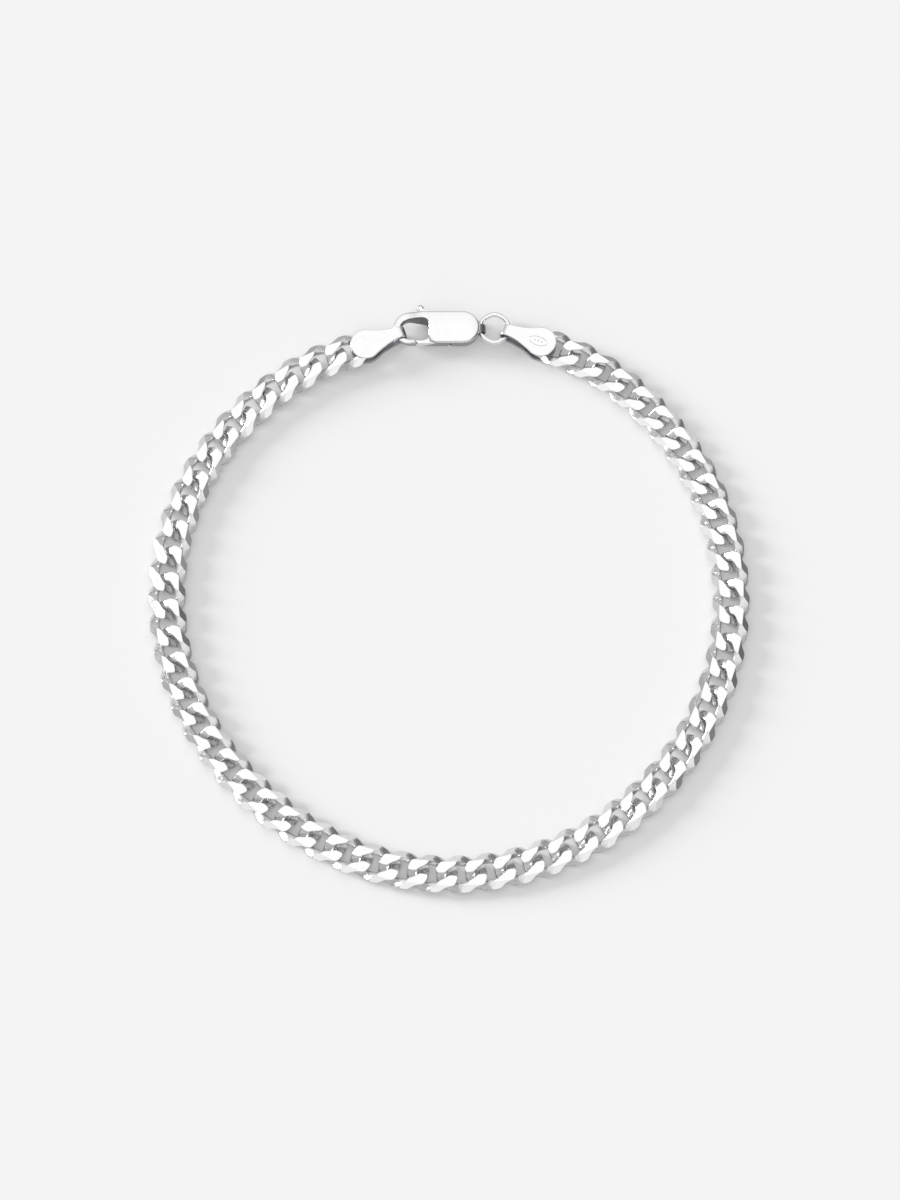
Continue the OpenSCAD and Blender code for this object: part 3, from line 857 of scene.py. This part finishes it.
def face_places(mesh):
    """Place of each face's middle, and how far its normal leans from level: 0 for an upright wall."""
    centre, normal = np.empty(3 * len(mesh.polygons)), np.empty(3 * len(mesh.polygons))
    mesh.polygons.foreach_get("center", centre)
    mesh.polygons.foreach_get("normal", normal)
    return (*centre.reshape(-1, 3).T, np.abs(normal.reshape(-1, 3)[:, 2]))


def mark_painted_shade(p, mesh):
    """Marks the case's faces for painted shade: dark grey on the steep walls inside the opening, told by
    their distance from its middle line, and on the eye beyond the case's end, where shade falls. The other
    upright walls get a grey painted shade."""
    flare_rise, skin_w, eye_start = 0.55, 0.2, 0.03
    x, y, _, rise = face_places(mesh)
    on_line = np.clip(x, p.hook_x, p.open_x)
    inside = np.hypot(x - on_line, y + p.open_drop) < p.inner_r + skin_w
    eye = x > p.eye_x + eye_start
    # Painted shade: grey on the upright walls, dark grey on the opening's steep walls and on the eye
    walls = np.where(rise < WALL_RISE, WALL_SHADE, 0)
    mark_faces(mesh, np.where((rise < flare_rise) & inside | eye, RECESS_SHADE, walls))


def clasp_body_mesh(s, p):
    """Cast case and hook, with the opening, the gate's gap, the lever's room, the ring's way and the pin's
    hole cut out."""
    play, cover, passes = 0.02, 0.18, 12
    body = combined(cast_form(s, p), "UNION", eye_form(s, p))
    tall = 2 * p.clasp_z
    room = s.clasp.lever_t / 2 + s.fit.lever_gap
    way = torus([p.ring_x, s.ring.ring_rise], s.ring.ring_d / 2, s.ring.ring_wire / 2 + s.fit.hang_gap)
    hole = arc(p.pivot, s.clasp.pin_d / 2 + play, 0, 360, 36)[:-1]
    body = combined(body, "DIFFERENCE", opening_tool(s, p), prism(gate_plan(s, p), -tall, tall),
                    *(prism(outline, -room, room) for outline in lever_space(s, p)),
                    raw_mesh("ring way", *way), prism(hole, -tall, p.clasp_z - cover))
    body = blended(body, s.clasp.cast_voxel, passes)
    mark_painted_shade(p, body)
    body.transform(Matrix.Translation(p.clasp))
    return body


def lever_mesh(s, p):
    """Lever: hub and gate, arm, thumb plate and ball, blended into one casting with the pin's hole. Its
    walls beside the case are marked for a grey painted shade, from a line that leans so as not to show as a
    border."""
    play, passes, lean, rise_r, root_in = 0.05, 10, 1.6, 0.95, 0.15
    q = lever_sizes(s, p)
    half = s.clasp.lever_t / 2
    hub = arc([0, 0], s.clasp.hub_d / 2 - s.fit.lever_gap, 0, 360, 48)[:-1]
    rise = arc([q.root_x + root_in - rise_r, q.end[1] + rise_r], rise_r, -90, 0, 14)
    gate = np.concatenate([[q.end, q.tip, [0, q.low], [0, -q.low], [rise[-1, 0], -q.low]], rise[::-1]])
    arm = bar_plan([0, 0], q.arm_end, ARM_W)
    thumb = corners((q.ball[0], q.arm_end[0]), (q.thumb_y, q.thumb_y + THUMB_T))
    ball_r = s.clasp.ball_d / 2 + s.clasp.ball_swell
    ball = raw_mesh("ball", *dome([*q.ball, 0], ball_r, ball_r, 85, 24, 40))
    hole = arc([0, 0], s.clasp.pin_d / 2 + play, 0, 360, 36)[:-1]
    lever, *others = (prism(outline, -half, half) for outline in (hub, gate, arm, thumb))
    lever = combined(lever, "UNION", *others, ball)
    lever = combined(lever, "DIFFERENCE", prism(hole, -2 * half, 2 * half))
    lever = blended(lever, s.clasp.cast_voxel, passes)
    x, _, z, rise = face_places(lever)
    # Painted shade in grey on the lever's walls beside the case
    mark_faces(lever, (rise < WALL_RISE) & (x - lean * z > q.root_x))
    lever.transform(Matrix.Translation(np.append(p.pivot, 0) + p.clasp))
    return lever


def ring_mesh(s, p):
    """Jump ring: round wire bent round a loop whose radius is r*(1 + hex*cos(6*(t - 90 degrees))), a little
    taller than wide. Its two ends meet at a fine seam at the top."""
    wire_r = s.ring.ring_wire / 2
    r = s.ring.ring_d / 2
    half_seam = math.degrees(s.ring.seam / 2 / r)
    t = np.radians(np.linspace(90 + half_seam, 450 - half_seam, 160))[:, None]
    v = full_turn(32)
    k = r * (1 + s.ring.hex * np.cos(6 * (t - np.pi / 2))) + wire_r * np.cos(v)
    rings = np.stack([k * np.cos(t), s.ring.tall * k * np.sin(t), wire_r * np.sin(v) + 0 * t], -1)
    points, faces = closed_tube(rings)
    return raw_mesh("jump ring", points + p.clasp + [p.ring_x, s.ring.ring_rise, 0], faces)


# Materials

def linear(code):
    """Linear colour of an sRGB hex code."""
    c = np.array([int(code[i:i + 2], 16) for i in (1, 3, 5)]) / 255
    c = np.where(c <= 0.04045, c / 12.92, ((c + 0.055) / 1.055)**2.4)
    return (*c.tolist(), 1.0)


def empty_tree(owner):
    """Node tree of a material or world, without its nodes."""
    owner.use_nodes = True
    owner.node_tree.nodes.clear()
    return owner.node_tree


def add_node(tree, kind, settings=None, inputs=None):
    """Adds a node. Settings are its own attributes, and inputs gives each socket a value or the output
    that it is linked from."""
    node = tree.nodes.new(kind)
    for key, value in (settings or {}).items():
        setattr(node, key, value)
    for key, value in (inputs or {}).items():
        if isinstance(value, bpy.types.NodeSocket):
            tree.links.new(value, node.inputs[key])
        else:
            node.inputs[key].default_value = value
    return node


def noise(tree, size_mm, detail, roughness):
    """Noise of that grain through the object, from about 0.3 to 0.7."""
    place = add_node(tree, "ShaderNodeTexCoord").outputs["Object"]
    return add_node(tree, "ShaderNodeTexNoise", None,
                    {"Vector": place, "Scale": 1 / (size_mm * MM), "Detail": detail,
                     "Roughness": roughness}).outputs["Fac"]


def mapped(tree, value, span, results):
    """The value carried from the span to the results, and held at their ends."""
    return add_node(tree, "ShaderNodeMapRange", None,
                    {"Value": value, "From Min": span[0], "From Max": span[1],
                     "To Min": results[0], "To Max": results[1]}).outputs["Result"]


def mixed(tree, factor, first, second):
    """Colour from the first hex code to the second, by the factor."""
    return add_node(tree, "ShaderNodeMix", {"data_type": "RGBA"},
                    {"Factor": factor, "A": linear(first), "B": linear(second)}).outputs["Result"]


def shaded(tree, inputs):
    """Ends a material's tree with a principled shader."""
    shader = add_node(tree, "ShaderNodeBsdfPrincipled", None, inputs)
    add_node(tree, "ShaderNodeOutputMaterial", None, {"Surface": shader.outputs["BSDF"]})


def silver(name, oxide, colour, roughness, grain_mm, grain_depth, film, film_mm):
    """Silver with a fine relief of that grain and a thin dark film in patches: film is the share of it that
    shows, and film_mm the size of the patches, which are also rougher than the metal between them."""
    material = bpy.data.materials.new(name)
    tree = empty_tree(material)
    grain = noise(tree, grain_mm, 3.0, 0.6)
    patch = noise(tree, film_mm, 4.0, 0.65)
    relief = add_node(tree, "ShaderNodeBump", None,
                      {"Strength": 1.0, "Distance": grain_depth * MM, "Height": grain})
    shaded(tree, {"Base Color": mixed(tree, mapped(tree, patch, (0.52, 0.72), (0.0, film)), colour, oxide),
                  "Metallic": 1.0,
                  "Roughness": mapped(tree, patch, (0.3, 0.7), (roughness * 0.7, roughness * 1.4)),
                  "Normal": relief.outputs["Normal"]})
    return material


def finish(surface):
    """Silver with that surface, made once."""
    name = "sterling_silver_" + surface
    if name in bpy.data.materials:
        return bpy.data.materials[name]
    tones = read_sizes().silver
    finishes = {
        # Facets planed by a diamond tool: near mirrors, with the tool's faint waviness
        "diamond_cut": (tones.bright, 0.08, 0.45, 0.004, 0.05, 0.3),
        # Drawn wire, tumbled but not cut: softer gloss, small pits and a grey film where links rub
        "drawn_wire": (tones.soft, 0.22, 0.1, 0.005, 0.36, 0.2),
        # Cast and buffed by hand: a bright skin that still rolls a little
        "cast_buffed": (tones.bright, 0.1, 0.7, 0.0012, 0.05, 1.4),
        # Painted shade: dark grey and rough, for the walls inside the opening and the eye, where shade falls
        "painted_shade_recess": (tones.cast, 0.34, 0.15, 0.004, 0.3, 0.4),
        # Painted shade: an even grey on the upright walls, darker than the bright top because of how light
        # falls
        "painted_shade_walls": (tones.painted_shade_grey, 0.22, 0.4, 0.0015, 0.12, 0.8),
        # Rolled strip, bent and buffed: even and bright, with fine rub marks
        "rolled_strip": (tones.bright, 0.13, 0.35, 0.001, 0.04, 0.9),
        # Painted shade: grey on the strip's inner side, between the fold's layers, with a fine grain
        "painted_shade_fold_inside": (tones.painted_shade_grey, 0.38, 0.12, 0.003, 0.5, 0.5),
    }
    return silver(name, tones.oxide, *finishes[surface])


# Operators

class BRACELET_OT_chain(bpy.types.Operator):
    """Makes the two halves of the chain from diamond-cut links"""
    bl_idname = "bracelet.chain"
    bl_label = "Chain"

    def execute(self, context):
        s, p = read_plan()
        link = cut_link(s, p)
        half = p.link_count // 2
        finishes = [finish("drawn_wire"), finish("diamond_cut")]
        for side, first, last in (("right", 1, half - 1), ("left", half, p.link_count - 2)):
            mesh = chain_mesh("links_" + side, *link_rows(s, p, link, first, last))
            make_piece("links_" + side, mesh, "bracelet", finishes, ["chain_" + side], FACET)
        return {"FINISHED"}


class BRACELET_OT_tabs(bpy.types.Operator):
    """Makes the folded end tabs with the last links that they are soldered to, and the plain cartouche"""
    bl_idname = "bracelet.tabs"
    bl_label = "End tabs"

    def execute(self, context):
        s, p = read_plan()
        link = cut_link(s, p)
        strip, faces, marks = folded_strip(s)
        finishes = [finish(n) for n in ("drawn_wire", "diamond_cut", "rolled_strip", "painted_shade_fold_inside")]
        for side, place, way, index in (("right", p.right_disc, 180 - s.tab.tab_angle, 0),
                                        ("left", p.left_disc, s.tab.tab_angle, p.link_count - 1)):
            points = carry(strip, place[None], turned_axes(way))[0]
            tab = joined([(points, faces, marks), link_rows(s, p, link, index, index)])
            mesh = raw_mesh("tab_" + side, *tab[:2])
            mark_faces(mesh, tab[2])
            make_piece("tab_" + side, mesh, "bracelet", finishes, ["end_tab_" + side], FACET)
        points, faces = cartouche(s)
        points = carry(points, p.right_disc[None], turned_axes(180 - s.tab.tab_angle))[0]
        make_piece("cartouche", raw_mesh("cartouche", points, faces), "bracelet",
                   [finish("drawn_wire")])
        return {"FINISHED"}


class BRACELET_OT_clasp(bpy.types.Operator):
    """Makes the trigger clasp's body and its lever, and dresses its pin"""
    bl_idname = "bracelet.clasp"
    bl_label = "Clasp"

    def execute(self, context):
        s, p = read_plan()
        # The second finish in each list here is the grey painted shade on the upright walls of the case and
        # the lever
        cast, tumbled = finish("cast_buffed"), finish("painted_shade_walls")
        make_piece("clasp_case", clasp_body_mesh(s, p), "bracelet",
                   [cast, finish("painted_shade_recess"), tumbled], ["clasp_body"])
        make_piece("clasp_trigger", lever_mesh(s, p), "lever", [cast, tumbled],
                   ["clasp_lever"])
        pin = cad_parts["clasp_pin"]
        pin.data.materials.clear()
        pin.data.materials.append(finish("drawn_wire"))
        return {"FINISHED"}


class BRACELET_OT_ring(bpy.types.Operator):
    """Makes the jump ring"""
    bl_idname = "bracelet.ring"
    bl_label = "Jump ring"

    def execute(self, context):
        make_piece("ring", ring_mesh(*read_plan()), "bracelet", [finish("cast_buffed")],
                   ["jump_ring"])
        return {"FINISHED"}


# Brightness of the studio by the height of the direction, from 0 for level to 1 for straight up
STUDIO_BANDS = ((0.0, 0.8), (0.05, 0.3), (0.12, 0.2), (0.24, 0.6), (0.32, 0.85), (0.42, 0.55), (0.5, 0.4),
                (0.6, 0.85), (0.7, 0.95), (0.85, 1.03), (0.92, 1.1))


def floor_material(colour, glow):
    """Opal acrylic sheet of a product table, sanded matt, with a painted glow: an even emission from no
    lamp, which lifts the shadows and the floor that shows in the links' openings. The mottle keeps the white
    from looking painted."""
    mottle_mm, mottle_tone = 6, "#D8D8D8"
    material = bpy.data.materials.new("opal_acrylic_matt_painted_glow")
    tree = empty_tree(material)
    shaded(tree, {"Base Color": mixed(tree, noise(tree, mottle_mm, 2.0, 0.5), colour, mottle_tone),
                  "Roughness": 1.0, "Specular IOR Level": 0.0, "Emission Color": (1, 1, 1, 1),
                  "Emission Strength": glow})
    return material


def studio_light(s):
    """Soft studio: a bright ceiling over walls with lighter and darker bands, as a function of the height of
    the direction, and a dark screen on the right, which turns the bevels that face it dark."""
    world = bpy.data.worlds.new("studio")
    bpy.context.scene.world = world
    tree = empty_tree(world)
    way = add_node(tree, "ShaderNodeTexCoord").outputs["Generated"]
    parts = add_node(tree, "ShaderNodeSeparateXYZ", None, {"Vector": way})
    ramp = add_node(tree, "ShaderNodeValToRGB", None, {"Fac": parts.outputs["Z"]})
    elements = ramp.color_ramp.elements
    for position, _ in STUDIO_BANDS[1:-1]:
        elements.new(position)
    for element, (position, value) in zip(elements, STUDIO_BANDS):
        element.position = position
        element.color = (value, value, value, 1)
    screen_start, screen_light = (0.62, 0.72), 0.35
    screen = mapped(tree, parts.outputs["X"], screen_start, (1.0, screen_light))
    back = add_node(tree, "ShaderNodeBackground", None, {"Color": ramp.outputs["Color"], "Strength": screen})
    add_node(tree, "ShaderNodeOutputWorld", None, {"Surface": back.outputs["Background"]})

    lamp = bpy.data.lights.new("key", "SUN")
    lamp.energy = s.stage.key_power
    lamp.angle = math.radians(s.stage.key_spread)
    key = linked("key", lamp)
    key.rotation_euler = (0, math.radians(90 - s.stage.key_height), math.radians(s.stage.key_turn))


class BRACELET_OT_stage(bpy.types.Operator):
    """Makes the floor, the studio light and the camera"""
    bl_idname = "bracelet.stage"
    bl_label = "Stage"

    def execute(self, context):
        s = read_sizes()
        half = s.stage.floor_w / 2
        plan = corners((-half, half), (-half, half))
        floor_mesh = raw_mesh("floor", raised(plan, 0), [range(4)])
        floor_mesh.transform(Matrix.Scale(MM, 4))
        floor_mesh.materials.append(floor_material(s.stage.floor, s.stage.floor_glow))
        floor = linked("floor", floor_mesh)
        studio_light(s)
        lens = bpy.data.cameras.new("camera")
        lens.sensor_fit = "VERTICAL"
        lens.sensor_height = 36
        lens.lens = s.stage.lens
        camera = linked("camera", lens)
        tilt = math.radians(s.stage.tilt)
        back = s.stage.distance * np.array([0, -math.sin(tilt), math.cos(tilt)])
        camera.location = MM * (np.array([s.stage.look_x, s.stage.look_y, s.stage.look_z]) + back)
        camera.rotation_euler = (tilt, 0, 0)
        context.scene.camera = camera
        context.scene.view_settings.view_transform = "Standard"
        return {"FINISHED"}


OPERATORS = (BRACELET_OT_chain, BRACELET_OT_tabs, BRACELET_OT_clasp, BRACELET_OT_ring, BRACELET_OT_stage)


class BRACELET_PT_panel(bpy.types.Panel):
    """Lists the pieces and their sizes"""
    bl_idname = "BRACELET_PT_panel"
    bl_label = "Link bracelet"
    bl_space_type = "VIEW_3D"
    bl_region_type = "UI"
    bl_category = "Bracelet"

    def draw(self, context):
        for operator in OPERATORS:
            self.layout.operator(operator.bl_idname)
        for name in GROUPS:
            group = getattr(context.scene, PREFIX + name)
            box = self.layout.box()
            box.label(text=name)
            for item in fields(group):
                box.prop(group, item.identifier)


CLASSES = (*GROUPS.values(), *OPERATORS, BRACELET_PT_panel)


def register():
    for cls in CLASSES:
        bpy.utils.register_class(cls)
    for name, group in GROUPS.items():
        setattr(bpy.types.Scene, PREFIX + name, PointerProperty(type=group))


def unregister():
    for name in GROUPS:
        delattr(bpy.types.Scene, PREFIX + name)
    for cls in reversed(CLASSES):
        bpy.utils.unregister_class(cls)


def main():
    register()
    bpy.ops.bracelet.chain()
    bpy.ops.bracelet.tabs()
    bpy.ops.bracelet.clasp()
    bpy.ops.bracelet.ring()
    bpy.ops.bracelet.stage()


if __name__ == "__main__":
    main()
